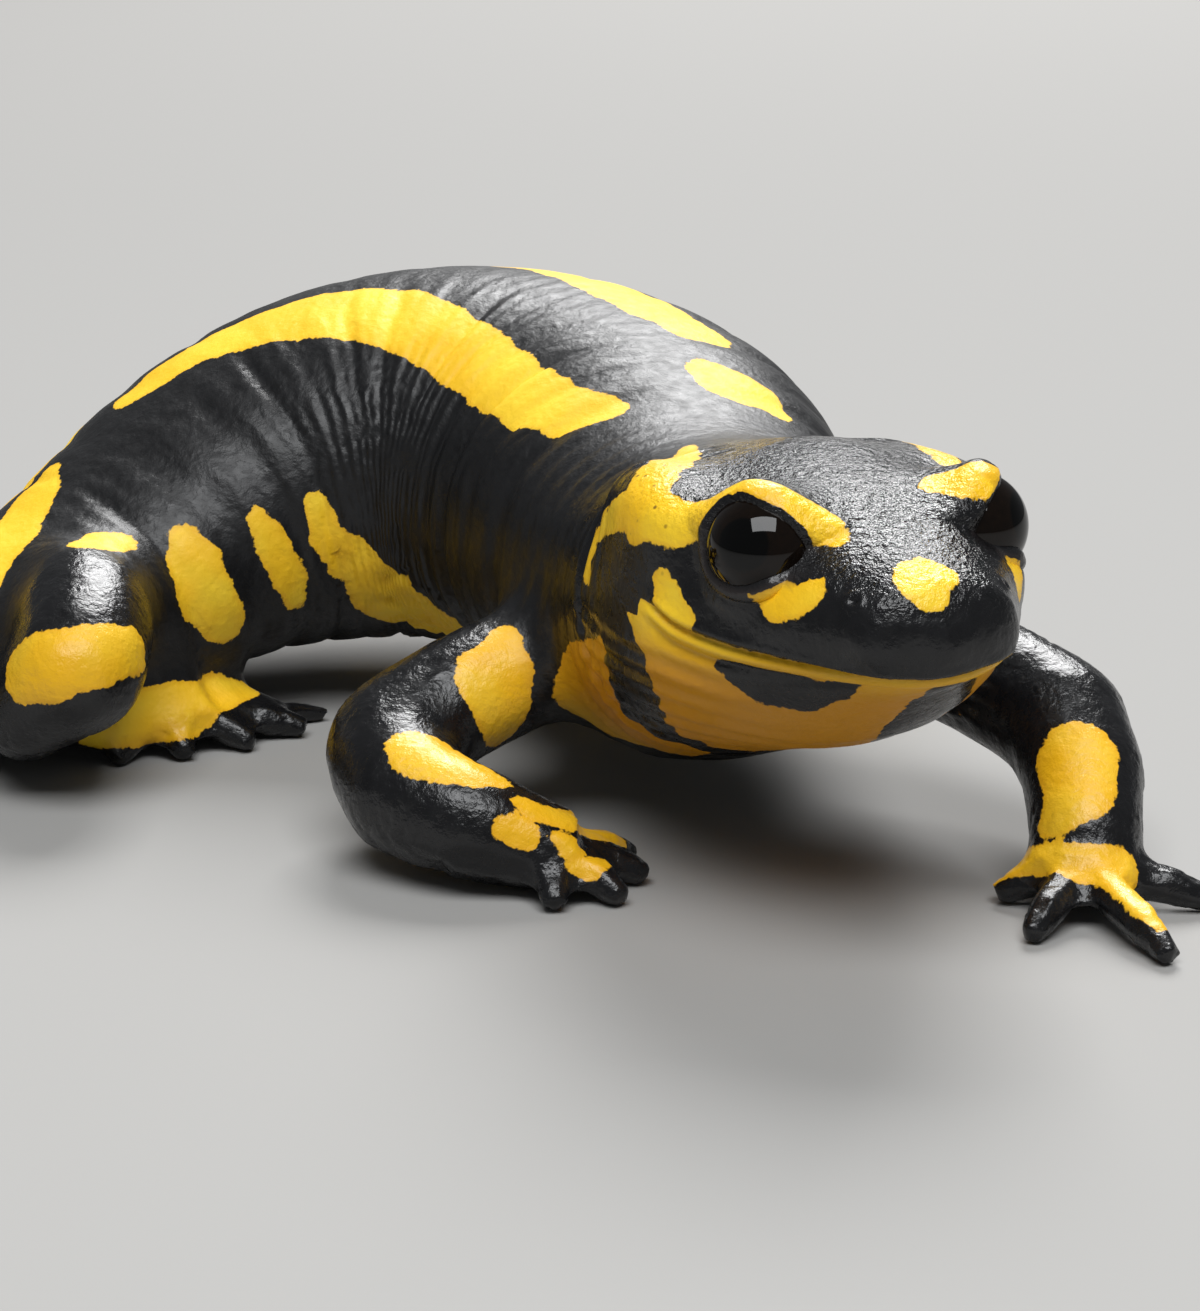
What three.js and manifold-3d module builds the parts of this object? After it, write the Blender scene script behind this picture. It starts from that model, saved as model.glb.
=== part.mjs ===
// A fire salamander, life size, standing with its chest and head raised and its body bent.
// Millimetres, +Z up. The floor is z = 0 and the origin is the middle of the footprint.
// The head end points along -Y, the body bends round towards -X, and the tail lies along -X.
import * as THREE from 'three';
import { mergeVertices } from 'three/addons/utils/BufferGeometryUtils.js';
import Module from 'manifold-3d';

const wasm = await Module();
wasm.setup();

// Driving dimensions.
const GAP = 0.3; // clearance between neighbouring solids
const FINEST = 0.14; // details smaller than this are dropped after the cuts
const EYE_HEIGHT = 19; // eye centres above the floor
const EYE_AT = 9.6; // eye centres behind the tip of the snout
const EYE_APART = 10.6;
const EYE_RADIUS = 2.55;
const NECK_AT = 21.5; // the fold behind the throat, from the tip of the snout
const THROAT_AT = 26;
const CHEST_AT = 40;
const LOIN_AT = 68;
const VENT_AT = 90;
const TAIL_MID_AT = 118;
const TAIL_END_AT = 144;
const LENGTH = 170;

const degrees = THREE.MathUtils.degToRad;

// A smooth curve through rows of numbers: a row's first number says where, the rest what it has there.
function smooth(rows) {
  const places = rows.map((row) => row[0]);
  const values = rows.flatMap((row) => row.slice(1));
  const curve = new THREE.CubicInterpolant(places, values, rows[0].length - 1);
  return (at) => [...curve.evaluate(THREE.MathUtils.clamp(at, places[0], places.at(-1)))];
}

// The line of the body from the tip of the snout: its heading in degrees, where 0 is straight back
// along +Y and 90 is -X, and its height.
const heading = smooth([
  [0, 20], [22, 21], [33, 14], [40, 18], [48, 41], [56, 71], [64, 103], [72, 128], [79, 134],
  [88, 119], [100, 96], [124, 70], [150, 52], [LENGTH, 42],
]);
const height = smooth([
  [0, 16.0], [3, 15.7], [6, 15.3], [10, 14.8], [20, 13.5], [33, 12.0], [46, 12.3], [59, 12.4],
  [70, 10.5], [80, 7.4], [90, 5.6], [102, 4.9], [122, 3.9], [146, 2.65], [162, 1.7], [LENGTH, 1.2],
]);

// Along the body: half width, rise above its line, drop below it, and how square the top and underside are.
const girth = smooth([
  [0, 0, 0, 0, 2.2, 2.0],
  [0.5, 2.5, 1.8, 1.3, 2.2, 1.9],
  [1.6, 3.8, 3.1, 2.0, 2.3, 1.8],
  [3.5, 4.9, 4.0, 2.3, 2.3, 1.8],
  [6.5, 6.3, 5.2, 3.7, 2.1, 1.9],
  [9.6, 7.8, 6.6, 5.6, 2.0, 2.0],
  [13, 9.2, 7.3, 6.4, 2.1, 2.1],
  [17, 10.0, 7.5, 7.0, 2.2, 2.1],
  [21.5, 9.6, 7.4, 8.1, 2.2, 2.2],
  [26, 9.2, 7.1, 9.4, 2.2, 2.4],
  [31, 9.9, 8.2, 9.2, 2.2, 2.3],
  [40, 11.6, 10.4, 9.1, 2.2, 2.2],
  [53, 12.4, 11.8, 9.7, 2.2, 2.2],
  [65, 11.7, 10.7, 8.9, 2.2, 2.2],
  [76, 9.4, 7.2, 6.9, 2.2, 2.2],
  [86, 7.4, 5.0, 5.2, 2.1, 2.1],
  [98, 6.1, 4.9, 4.7, 2.1, 2.1],
  [118, 4.8, 4.9, 4.1, 2.1, 2.1],
  [144, 3.1, 3.2, 2.8, 2.1, 2.1],
  [162, 1.9, 1.9, 1.8, 2, 2],
  [168, 1.2, 1.2, 1.2, 2, 2],
  [LENGTH, 0, 0, 0, 2, 2],
]);

// The back line in space: walked in short steps, with the animal's left and its upward direction at each.
const STEP = 0.25;
function walkSpine() {
  const path = [new THREE.Vector3()];
  for (let at = 0; at < LENGTH; at += STEP) {
    const turn = degrees(heading(at + STEP / 2)[0]);
    const way = new THREE.Vector3(-Math.sin(turn), Math.cos(turn), 0);
    path.push(path.at(-1).clone().addScaledVector(way, STEP));
  }
  const eyes = path[Math.round(EYE_AT / STEP)].clone();
  path.forEach((point, i) => {
    point.sub(eyes);
    point.z = height(i * STEP)[0];
  });
  return new THREE.CatmullRomCurve3(path);
}
const spinePath = walkSpine();
function spine(at) {
  const turn = degrees(heading(at)[0]);
  const rise = (height(at + STEP)[0] - height(at - STEP)[0]) / (2 * STEP);
  const back = new THREE.Vector3(-Math.sin(turn), Math.cos(turn), rise).normalize();
  const left = new THREE.Vector3(Math.cos(turn), Math.sin(turn), 0);
  const up = new THREE.Vector3().crossVectors(left, back);
  return { point: spinePath.getPoint(at / LENGTH), left, up, back };
}

// A closed mesh as a solid, and a solid as a named mesh.
function solid(geometry) {
  geometry.deleteAttribute('normal');
  geometry.deleteAttribute('uv');
  const merged = mergeVertices(geometry, 1e-4);
  return new wasm.Manifold(new wasm.Mesh({
    numProp: 3,
    vertProperties: merged.getAttribute('position').array,
    triVerts: new Uint32Array(merged.index.array),
  }));
}
const group = new THREE.Group();
function show(name, shape, material) {
  const { numProp, numVert, vertProperties, triVerts } = shape.simplify(FINEST).getMesh();
  const places = new Float32Array(numVert * 3);
  for (let i = 0; i < numVert; i++) {
    places.set(vertProperties.subarray(i * numProp, i * numProp + 3), i * 3);
  }
  const geometry = new THREE.BufferGeometry();
  geometry.setAttribute('position', new THREE.BufferAttribute(places, 3));
  geometry.setIndex(new THREE.BufferAttribute(triVerts, 1));
  geometry.computeVertexNormals();
  const mesh = new THREE.Mesh(geometry, material);
  mesh.name = name;
  group.add(mesh);
}

// A sphere's rings strung along a line and stretched to the section wanted there.
// `place` takes how far along, 0 to 1, and the angle round, where 0 is left and a quarter turn is up.
function strung(rings, around, place) {
  const sphere = new THREE.SphereGeometry(1, around, rings);
  const points = sphere.getAttribute('position');
  const v = new THREE.Vector3();
  for (let i = 0; i < points.count; i++) {
    v.fromBufferAttribute(points, i);
    const ring = Math.round((Math.acos(THREE.MathUtils.clamp(v.y, -1, 1)) / Math.PI) * rings);
    const end = ring === 0 || ring === rings;
    const { x, y, z } = place(ring / rings, end ? 0 : Math.atan2(-v.z, v.x), end);
    points.setXYZ(i, x, y, z);
  }
  return solid(sphere);
}
const power = (value, exponent) => Math.sign(value) * Math.abs(value) ** exponent;

// A length of the body from one place on its line to another, with flat ends, grown outwards by `grow`.
function bodyLength(from, to, spacing, grow = 0) {
  const rings = Math.ceil((to - from) / spacing) + 2;
  return strung(rings, 20, (along, angle, end) => {
    const at = THREE.MathUtils.clamp(
      from + ((along * rings - 1) / (rings - 2)) * (to - from), from, to,
    );
    const { point, left, up } = spine(at);
    if (end) return point;
    const [half, above, below, squareTop, squareUnder] = girth(at);
    const square = angle > 0 ? squareTop : squareUnder;
    const x = power(Math.cos(angle), 2 / square) * (half + grow);
    const z = power(Math.sin(angle), 2 / square) * ((angle > 0 ? above : below) + grow);
    return point.clone().addScaledVector(left, x).addScaledVector(up, z);
  });
}

// The head's own frame: forward, left and up from the midpoint of the eyes.
const headUp = new THREE.Vector3(0, 0, 1);
const headLeft = spine(EYE_AT).left;
const headAhead = new THREE.Vector3().crossVectors(headLeft, headUp);
const headFrame = new THREE.Matrix4().makeBasis(headAhead, headLeft, headUp).setPosition(0, 0, EYE_HEIGHT);

// An ellipsoid in the head's frame: its middle, its half lengths, and its turns in degrees.
function bump([x, y, z], [length, width, tall], [roll, pitch, yaw], around = 12) {
  const turn = new THREE.Matrix4().makeRotationFromEuler(
    new THREE.Euler(degrees(roll), degrees(pitch), degrees(yaw), 'ZYX'),
  );
  const geometry = new THREE.SphereGeometry(1, around, Math.round(around * 0.7));
  geometry.scale(length, width, tall).applyMatrix4(turn).translate(x, y, z).applyMatrix4(headFrame);
  return solid(geometry);
}
function eyeball(side, radius, around) {
  return bump([0, side * EYE_APART / 2, 0], [radius, radius, radius], [0, 0, 0], around);
}

// Side 1 is the animal's left and -1 its right.
const PAROTOID = { at: [-8.0, 7.0, 0], size: [5.6, 2.6, 2.2], turn: [-32, 0, 8] };
const LID = 0.6; // how far an eyelid stands off its eye
const OPENING = 2.35; // radius of the opening between the lids
const GAZE = [0.72, 0.68, 0.2];
const sided = ([x, y, z], side) => [x, side * y, z];
const turned = ([roll, pitch, yaw], side) => [side * roll, pitch, side * yaw];

function opening(side) {
  const gaze = new THREE.Vector3(...sided(GAZE, side)).normalize();
  const cone = new THREE.CylinderGeometry(OPENING + 0.5, OPENING - 0.5, 6, 18).translate(0, 3, 0);
  cone.applyQuaternion(new THREE.Quaternion().setFromUnitVectors(new THREE.Vector3(0, 1, 0), gaze));
  return solid(cone.translate(0, side * EYE_APART / 2, 0).applyMatrix4(headFrame));
}

let skull = bodyLength(0, NECK_AT + 4, 1.8);
for (const side of [1, -1]) {
  const lid = EYE_RADIUS + LID;
  skull = skull.add(bump([-0.2, side * (EYE_APART / 2 - 0.25), 0], [lid, lid, lid], [0, 0, 0]));
  skull = skull.add(bump(sided(PAROTOID.at, side), PAROTOID.size, turned(PAROTOID.turn, side)));
}
for (const side of [1, -1]) {
  skull = skull.subtract(eyeball(side, EYE_RADIUS + GAP, 12)).subtract(opening(side));
}
const nape = spine(NECK_AT - GAP / 2);
const ahead = nape.back.negate();
skull = skull.trimByPlane(ahead.toArray(), ahead.dot(nape.point));

// The mouth: a thin cut from the lips to the neck, level with the lips and seen from the side.
const mouthLine = [
  [14, -5.0], [9, -4.6], [5, -4.4], [0, -4.3], [-2.4, -4.0], [-4.6, -3.3], [-8, -3.6], [-14, -5.6],
];
function beyondMouth(side) {
  const edge = mouthLine.map(([x, z]) => new THREE.Vector2(x, z + side * GAP / 2));
  const shape = new THREE.Shape([new THREE.Vector2(edge[0].x, side * 20), edge[0]]);
  shape.splineThru(edge.slice(1));
  shape.lineTo(edge.at(-1).x, side * 20);
  const slab = new THREE.ExtrudeGeometry(shape, { depth: 40, bevelEnabled: false, curveSegments: 8 });
  slab.rotateX(Math.PI / 2).translate(0, 20, 0).applyMatrix4(headFrame);
  return solid(slab);
}

// A floor to trim the soles and the tail flat.
const floor = solid(new THREE.BoxGeometry(600, 600, 40).translate(0, 0, -20));

// A limb's length between two of its joints.
function limbLength(line, from, to, rings, around, grow = 0) {
  return strung(rings, around, (along, angle, end) => {
    const run = THREE.MathUtils.clamp((along * rings - 1) / (rings - 2), 0, 1);
    const at = from + run * (to - from) + (run === 0 ? -grow : 0) + (run === 1 ? grow : 0);
    const { point, left, up, wide, tall } = line(at);
    if (end) return point;
    return point.clone().addScaledVector(left, Math.cos(angle) * (wide + grow))
      .addScaledVector(up, Math.sin(angle) * (tall + grow));
  });
}

// The line through a limb's joints. `rows` hold x, y, z, half width and half thickness.
// `hint` is a direction that stays in the section's upright plane.
function limbLine(rows, hint) {
  const points = rows.map(([x, y, z]) => new THREE.Vector3(x, y, z));
  const path = new THREE.CatmullRomCurve3(points, false, 'centripetal');
  const lengths = [0];
  for (let i = 1; i < rows.length; i++) {
    let sum = lengths[i - 1];
    for (let k = 0; k < 20; k++) {
      const a = path.getPoint((i - 1 + k / 20) / (rows.length - 1));
      sum += a.distanceTo(path.getPoint((i - 1 + (k + 1) / 20) / (rows.length - 1)));
    }
    lengths.push(sum);
  }
  const size = smooth(rows.map((row, i) => [lengths[i], row[3], row[4]]));
  const where = smooth(lengths.map((length, i) => [length, i / (rows.length - 1)]));
  const line = (at) => {
    const t = THREE.MathUtils.clamp(where(at)[0], 0, 1);
    const point = path.getPoint(t);
    const ahead = path.getTangent(t);
    point.addScaledVector(ahead, at < 0 ? at : Math.max(at - lengths.at(-1), 0));
    const left = new THREE.Vector3().crossVectors(ahead, hint).normalize();
    const [wide, tall] = size(at);
    return { point, left, up: new THREE.Vector3().crossVectors(left, ahead), wide, tall };
  };
  line.lengths = lengths;
  return line;
}

const skin = new THREE.MeshStandardMaterial({ color: 0x0c0c0d, roughness: 0.32, metalness: 0 });
const eyeSurface = new THREE.MeshStandardMaterial({ color: 0x050403, roughness: 0.04, metalness: 0 });

show('head', skull.intersect(beyondMouth(1)), skin);
show('lower_jaw', skull.intersect(beyondMouth(-1)), skin);
show('eye_right', eyeball(-1, EYE_RADIUS, 12), eyeSurface);
show('eye_left', eyeball(1, EYE_RADIUS, 12), eyeSurface);

// The trunk and tail in lengths.
const trunk = [
  ['neck', NECK_AT, THROAT_AT], ['chest', THROAT_AT, CHEST_AT], ['belly', CHEST_AT, LOIN_AT],
  ['hips', LOIN_AT, VENT_AT], ['tail_base', VENT_AT, TAIL_MID_AT],
  ['tail_middle', TAIL_MID_AT, TAIL_END_AT], ['tail_tip', TAIL_END_AT, LENGTH],
];
for (const [name, from, to] of trunk) {
  const end = to === LENGTH ? to : to - GAP / 2;
  const length = bodyLength(from + GAP / 2, end, name.startsWith('tail') ? 4 : 3);
  show(name, length.subtract(floor), skin);
}
const trunkGrown = bodyLength(18, 104, 2.6, GAP);

// Limbs. Joints are given from the midpoint of the eyes, on the floor.
const forelimb = {
  right: {
    joints: [
      [-8, 20, 8.5, 3.4, 3.4], [-16.2, 15.2, 8.2, 3.3, 3.3], [-22.8, 11.2, 5.4, 3.3, 3.3],
      [-22.0, 7.7, 4.2, 3.3, 3.3], [-18.6, 5.1, 3.4, 2.8, 2.9],
      [-16.7, 5.1, 2.7, 2.7, 2.6], [-14.7, 5.3, 2.0, 2.9, 2.1],
    ],
    fingers: [[-10.6, 8.4], [-9.9, 5.4], [-11.1, 2.2], [-14.4, 1.3]],
  },
  left: {
    joints: [
      [-2.5, 21, 8.6, 3.4, 3.4], [5.2, 15.8, 8.6, 3.2, 3.2], [10.7, 10.4, 6.8, 3.3, 3.2],
      [11.4, 7.2, 5.0, 3.1, 3.0], [11.2, 4.4, 3.1, 2.8, 2.8],
      [11.1, 3.6, 2.3, 2.8, 2.3], [10.8, 2.6, 1.8, 3.0, 1.9],
    ],
    fingers: [[6.8, 2.9], [7.7, -2.6], [13.8, -5.2], [17.2, 1.8]],
  },
};
const hindlimb = {
  right: {
    joints: [
      [-41.5, 30.5, 8.2, 4.2, 4.2], [-39.6, 22.6, 8.8, 3.9, 3.9], [-39.2, 17.4, 7.3, 3.6, 3.5],
      [-42.2, 18.6, 4.9, 2.9, 2.8], [-42.8, 22.4, 3.4, 2.6, 2.7],
      [-40.0, 25.2, 2.6, 2.7, 1.7], [-35.8, 28.0, 2.4, 3.3, 2.0],
    ],
    fingers: [[-27.8, 31.6], [-28.6, 28.4], [-31.2, 25.6], [-34.8, 23.8], [-38.6, 23.0]],
  },
  left: {
    joints: [
      [-42, 33.5, 6.8, 4.1, 4.1], [-44.2, 42.4, 7.4, 3.8, 3.7], [-45.4, 49.0, 6.6, 3.4, 3.3],
      [-47.2, 52.0, 4.8, 3.2, 3.2], [-49.8, 54.0, 3.0, 2.9, 3.0],
      [-49.6, 56.0, 2.5, 2.9, 2.6], [-48.6, 57.8, 2.1, 3.4, 2.2],
    ],
    fingers: [[-41.8, 59.8], [-43.0, 63.0], [-46.2, 65.6], [-50.0, 66.0], [-53.2, 64.2]],
  },
};

function finger([fromX, fromY], [toX, toY], thick) {
  const knuckle = 0.55;
  const along = (share) => THREE.MathUtils.lerp(fromX, toX, share);
  const aside = (share) => THREE.MathUtils.lerp(fromY, toY, share);
  const line = limbLine([
    [along(0), aside(0), 1.8, thick, thick],
    [along(knuckle), aside(knuckle), 1.4, thick * 0.95, thick],
    [along(0.85), aside(0.85), 0.75, thick * 0.9, thick * 0.85],
    [along(1), aside(1), 0.5, thick * 0.6, thick * 0.6],
  ], new THREE.Vector3(0, 0, 1));
  return limbLength(line, 0, line.lengths.at(-1), 5, 6);
}

// A shape parted by a plane with the gap in it: what lies behind the plane, and what lies ahead.
function part(shape, point, ahead) {
  const at = ahead.dot(point);
  return [
    shape.trimByPlane(ahead.clone().negate().toArray(), -at + GAP / 2),
    shape.trimByPlane(ahead.toArray(), at + GAP / 2),
  ];
}

const largest = (shape) => shape.decompose().reduce((a, b) => (a.volume() > b.volume() ? a : b));

const UP = new THREE.Vector3(0, 0, 1);
const ball = ([x, y, z, radius], around) => solid(
  new THREE.SphereGeometry(radius, around, Math.round(around / 2)).translate(x, y, z),
);
function limb(side, { joints, fingers }, names, thick) {
  const [root, , elbow, , wrist, , palm] = joints.map(([x, y, z]) => new THREE.Vector3(x, y, z));
  const upperWay = elbow.clone().sub(root).normalize();
  const lowerWay = wrist.clone().sub(elbow).normalize();
  const handWay = palm.clone().sub(wrist).normalize();
  const hinge = new THREE.Vector3().crossVectors(upperWay, lowerWay).normalize();
  const length = (rows, hint, extra) => {
    const line = limbLine(rows, hint);
    return limbLength(line, 0, line.lengths.at(-1) + extra, 6, 10);
  };
  const clear = (shape) => shape.subtract(trunkGrown).subtract(floor);
  const arm = ball(joints[2], 10).add(ball(joints[4], 10))
    .add(length(joints.slice(0, 3), hinge, 0)).add(length(joints.slice(2, 5), hinge, 0));
  let hand = ball(joints[4], 10).add(length(joints.slice(4), UP, 0.8));
  fingers.forEach((tip) => {
    hand = hand.add(finger([palm.x, palm.y], tip, thick));
  });
  const atWrist = lowerWay.clone().add(handWay).normalize();
  const [upper, beyond] = part(clear(arm), elbow, upperWay.clone().add(lowerWay).normalize());
  const [lower] = part(beyond, wrist, atWrist);
  const [, end] = part(clear(hand), wrist, atWrist);
  [upper, lower, end].forEach((shape, i) => show(`${names[i]}_${side}`, largest(shape), skin));
}
for (const side of ['right', 'left']) {
  limb(side, forelimb[side], ['upper_arm', 'forearm', 'hand'], 1.05);
  limb(side, hindlimb[side], ['thigh', 'shank', 'foot'], 1.1);
}

// The origin goes to the middle of the footprint.
const footprint = new THREE.Box3().setFromObject(group).getCenter(new THREE.Vector3());
group.position.set(-footprint.x, -footprint.y, 0);

export default group;
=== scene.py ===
# %% [markdown]
# # A fire salamander, life size
# This lesson dresses a museum-like model of a fire salamander. The solid pieces, such as the head, the
# trunk and the limbs, come in as a fixed frame. Blender adds what the eye sees: one unbroken skin with
# its folds and markings, and two wet black eyes.
# The frame comes first, because every later shape is measured from it.

# %% Load the frame
import math

import bmesh
import bpy
import numpy as np
from mathutils import Matrix, Vector, noise
from mathutils.bvhtree import BVHTree


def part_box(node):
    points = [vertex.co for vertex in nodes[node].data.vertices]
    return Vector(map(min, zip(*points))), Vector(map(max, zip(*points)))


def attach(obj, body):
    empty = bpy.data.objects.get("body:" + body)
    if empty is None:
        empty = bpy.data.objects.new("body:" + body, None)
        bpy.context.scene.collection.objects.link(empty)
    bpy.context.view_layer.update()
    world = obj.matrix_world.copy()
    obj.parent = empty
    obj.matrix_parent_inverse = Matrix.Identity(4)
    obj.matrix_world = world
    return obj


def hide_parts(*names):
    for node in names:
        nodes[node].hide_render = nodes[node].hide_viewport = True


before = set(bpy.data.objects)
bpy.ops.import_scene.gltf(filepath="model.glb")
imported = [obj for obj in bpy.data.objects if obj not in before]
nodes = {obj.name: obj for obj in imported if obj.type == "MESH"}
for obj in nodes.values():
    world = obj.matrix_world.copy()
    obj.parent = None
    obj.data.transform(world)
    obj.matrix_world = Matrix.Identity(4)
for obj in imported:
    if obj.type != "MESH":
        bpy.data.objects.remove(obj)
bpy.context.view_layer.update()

# %% [markdown]
# ## A frame of its own for the head
# A sculptor turns the work round to face them. Here the same is done with three axes on the head: ahead,
# to the animal's left, and up, from the point midway between the eyes. They are worked out from the two
# eyes, so they stay right if the pose changes. Everything is sculpted in millimetres, because a detail
# such as an eyelid is easier to think of as 0.4 than as 0.0004.

# %% The head's axes and the floor under it
MM = 0.001


def middle(node):
    low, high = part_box(node)
    return np.array((low + high) / 2) / MM


# Wherever a side is a number, 1 is the animal's left and -1 its right.
EYE_LEFT, EYE_RIGHT = middle("eye_left"), middle("eye_right")
EYES = ((EYE_LEFT, 1), (EYE_RIGHT, -1))
EYES_APART = np.linalg.norm(EYE_LEFT - EYE_RIGHT)
EYE_RADIUS = (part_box("eye_left")[1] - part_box("eye_left")[0]).z / MM / 2
BETWEEN_EYES = (EYE_LEFT + EYE_RIGHT) / 2
LEFT = (EYE_LEFT - EYE_RIGHT) / EYES_APART
UP = np.array([0.0, 0.0, 1.0])
AHEAD = np.cross(LEFT, UP)
HEAD_AXES = np.array([AHEAD, LEFT, UP])
UNDER_EYES = BETWEEN_EYES * [1, 1, 0]
print("eyes", EYES_APART.round(2), "mm apart, radius", round(EYE_RADIUS, 2))


def on_head(places):
    """Points given as ahead, left and up from between the eyes, in the frame of the whole model."""
    return np.asarray(places, float) @ HEAD_AXES + BETWEEN_EYES


# %% [markdown]
# ## The line of the body
# A real animal's folds and stripes follow its backbone, not the axes of the room. So the script walks
# along the same curved line as the solids do: the heading and height every few millimetres, joined by a
# smooth curve. Then any point of the skin can be named by how far back it is from the snout, and by its
# angle round the body, where 90 degrees is the middle of the back and 180 the animal's right side.

# %% A smooth curve through a few rows of numbers
def smooth(rows, at):
    """A smooth curve through rows of (place, value), read at every number in `at`.

    Between two rows it is a cubic. Its slope at a row is the mean of those of the straight lines to the
    row before and to the row after."""
    x, y = np.array(rows, float).T
    at = np.clip(at, x[0], x[-1])
    i = np.clip(np.searchsorted(x, at, side="right"), 1, len(x) - 1)
    before, after = np.maximum(i - 2, 0), np.minimum(i + 1, len(x) - 1)
    before, after = np.where(i == 1, i, before), np.where(i == len(x) - 1, i - 1, after)
    half = (x[i] - x[i - 1]) / 2
    back, ahead = half / (x[i - 1] - x[before]), half / (x[after] - x[i])
    p = (at - x[i - 1]) / (x[i] - x[i - 1])
    return (y[before] * (-back * p**3 + 2 * back * p**2 - back * p)
            + y[i - 1] * ((1 + back) * p**3 - (1.5 + 2 * back) * p**2 + (back - 0.5) * p + 1)
            + y[i] * (-(1 + ahead) * p**3 + (1.5 + ahead) * p**2 + 0.5 * p)
            + y[after] * (ahead * p**3 - ahead * p**2))


print("halfway between 0 and 1 the curve is at", float(smooth([(0, 0), (1, 1)], 0.5)))

# %% Heading, height and half width along the body
# Millimetres along the body: its whole length, where the eyes are, and one step of the walk.
LENGTH = 170
EYE_AT = 9.6
STEP = 0.25

# Rows of (millimetres from the snout, value). The heading is in degrees, for someone who walks back from
# the snout: 0 is straight back and 90 the animal's right. The height is that of the body's middle.
HEADING = [(0, 20), (22, 21), (33, 14), (40, 18), (48, 41), (56, 71), (64, 103), (72, 128), (79, 134),
           (88, 119), (100, 96), (124, 70), (150, 52), (LENGTH, 42)]
HEIGHT = [(0, 16.0), (3, 15.7), (6, 15.3), (10, 14.8), (20, 13.5), (33, 12.0), (46, 12.3), (59, 12.4),
          (70, 10.5), (80, 7.4), (90, 5.6), (102, 4.9), (122, 3.9), (146, 2.65), (162, 1.7), (LENGTH, 1.2)]
HALF_WIDTH = [(0, 1), (3.5, 4.9), (6.5, 6.3), (9.6, 7.8), (13, 9.2), (17, 10), (26, 9.2), (31, 9.9),
              (40, 11.6), (53, 12.4), (65, 11.7), (76, 9.4), (86, 7.4), (98, 6.1), (118, 4.8), (144, 3.1),
              (162, 1.9), (LENGTH, 1)]
print("the body's line is drawn through", len(HEADING), "headings and", len(HEIGHT), "heights")

# %% Walk the line from the snout to the tip of the tail
line_at = np.arange(0, LENGTH + STEP, STEP)
turn = np.radians(smooth(HEADING, line_at))
halfway = np.radians(smooth(HEADING, line_at + STEP / 2))
walk = np.cumsum(np.c_[-np.sin(halfway), np.cos(halfway)] * STEP, axis=0)
walk = np.r_[[[0, 0]], walk[:-1]]
line = np.c_[walk - walk[round(EYE_AT / STEP)], smooth(HEIGHT, line_at)] + UNDER_EYES
line_left = np.c_[np.cos(turn), np.sin(turn), turn * 0]
line_back = np.c_[-np.sin(turn), np.cos(turn), np.gradient(line[:, 2], STEP)]
line_back /= np.linalg.norm(line_back, axis=1, keepdims=True)
line_up = np.cross(line_left, line_back)
line_half = smooth(HALF_WIDTH, line_at)
tail_corner = np.array(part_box("tail_tip")[0] / MM)
print("the line ends at", line[-1].round(1), "and the tail's box starts at", tail_corner.round(1))

# %% [markdown]
# ## One skin over all the flesh
# The flesh came in as separate solids with thin gaps, as parts of a model kit do. Skin has no seams. It
# could be modelled by hand over the solids, or the solids could be melted together. Melting keeps their
# true outline: each solid is copied, its loose triangles are merged, it is swollen until it meets its
# neighbours, and a voxel remesh wraps the whole in one even net. The net is then relaxed, which takes
# out the facets, and drawn in again by as much as it was swollen. A plain ball fills each eye socket for
# now: the eyelids are cut later, when the net there is finer.

# %% Swell a copy of each flesh solid
# How far each face moves out. A point at a sharp corner moves farther, but at most so many times as far.
SWELL = 0.3
MOST_AT_CORNERS = 1.6

merged = bmesh.new()
flesh = sorted(name for name in nodes if not name.startswith("eye_"))
thin_ends = []
for name in flesh:
    solid = bmesh.new()
    solid.from_mesh(nodes[name].data)
    bmesh.ops.remove_doubles(solid, verts=solid.verts, dist=1e-6)
    bmesh.ops.scale(solid, vec=(1 / MM,) * 3, verts=solid.verts)
    solid.normal_update()
    if name.startswith(("hand", "foot", "tail_tip")):
        thin_ends.append(BVHTree.FromBMesh(solid))
    for vert in solid.verts:
        vert.co += vert.normal * SWELL * min(vert.calc_shell_factor(), MOST_AT_CORNERS)
    swollen = bpy.data.meshes.new("swollen_" + name)
    solid.to_mesh(swollen)
    solid.free()
    merged.from_mesh(swollen)
    bpy.data.meshes.remove(swollen)
print(len(flesh), "solids swollen, of which", len(thin_ends), "are kept as they were for their thin ends")

# %% Fill the eye sockets
# How thick the lids are, and how far the ball is set back and inward, so that it stays under them.
LID = 0.55
SOCKET_BACK, SOCKET_INWARD = 0.2, 0.25

for side in (1, -1):
    socket = on_head([-SOCKET_BACK, side * (EYES_APART / 2 - SOCKET_INWARD), 0])
    bmesh.ops.create_icosphere(merged, subdivisions=4, radius=EYE_RADIUS + LID + SWELL,
                               matrix=Matrix.Translation(Vector(socket)))
print("each socket's ball has a radius of", round(EYE_RADIUS + LID + SWELL, 2), "mm")

# %% Wrap it all in one net
VOXEL = 0.55

rough = bpy.data.meshes.new("rough_skin")
merged.to_mesh(rough)
merged.free()
skin = bpy.data.objects.new("skin", rough)
bpy.context.scene.collection.objects.link(skin)
wrap = skin.modifiers.new("wrap", "REMESH")
wrap.mode = "VOXEL"
wrap.voxel_size = VOXEL
wrapped = bpy.data.meshes.new_from_object(skin.evaluated_get(bpy.context.evaluated_depsgraph_get()))
skin.modifiers.clear()
skin.data = wrapped
print("the net has", len(wrapped.vertices), "points and", len(wrapped.polygons), "faces")

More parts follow.
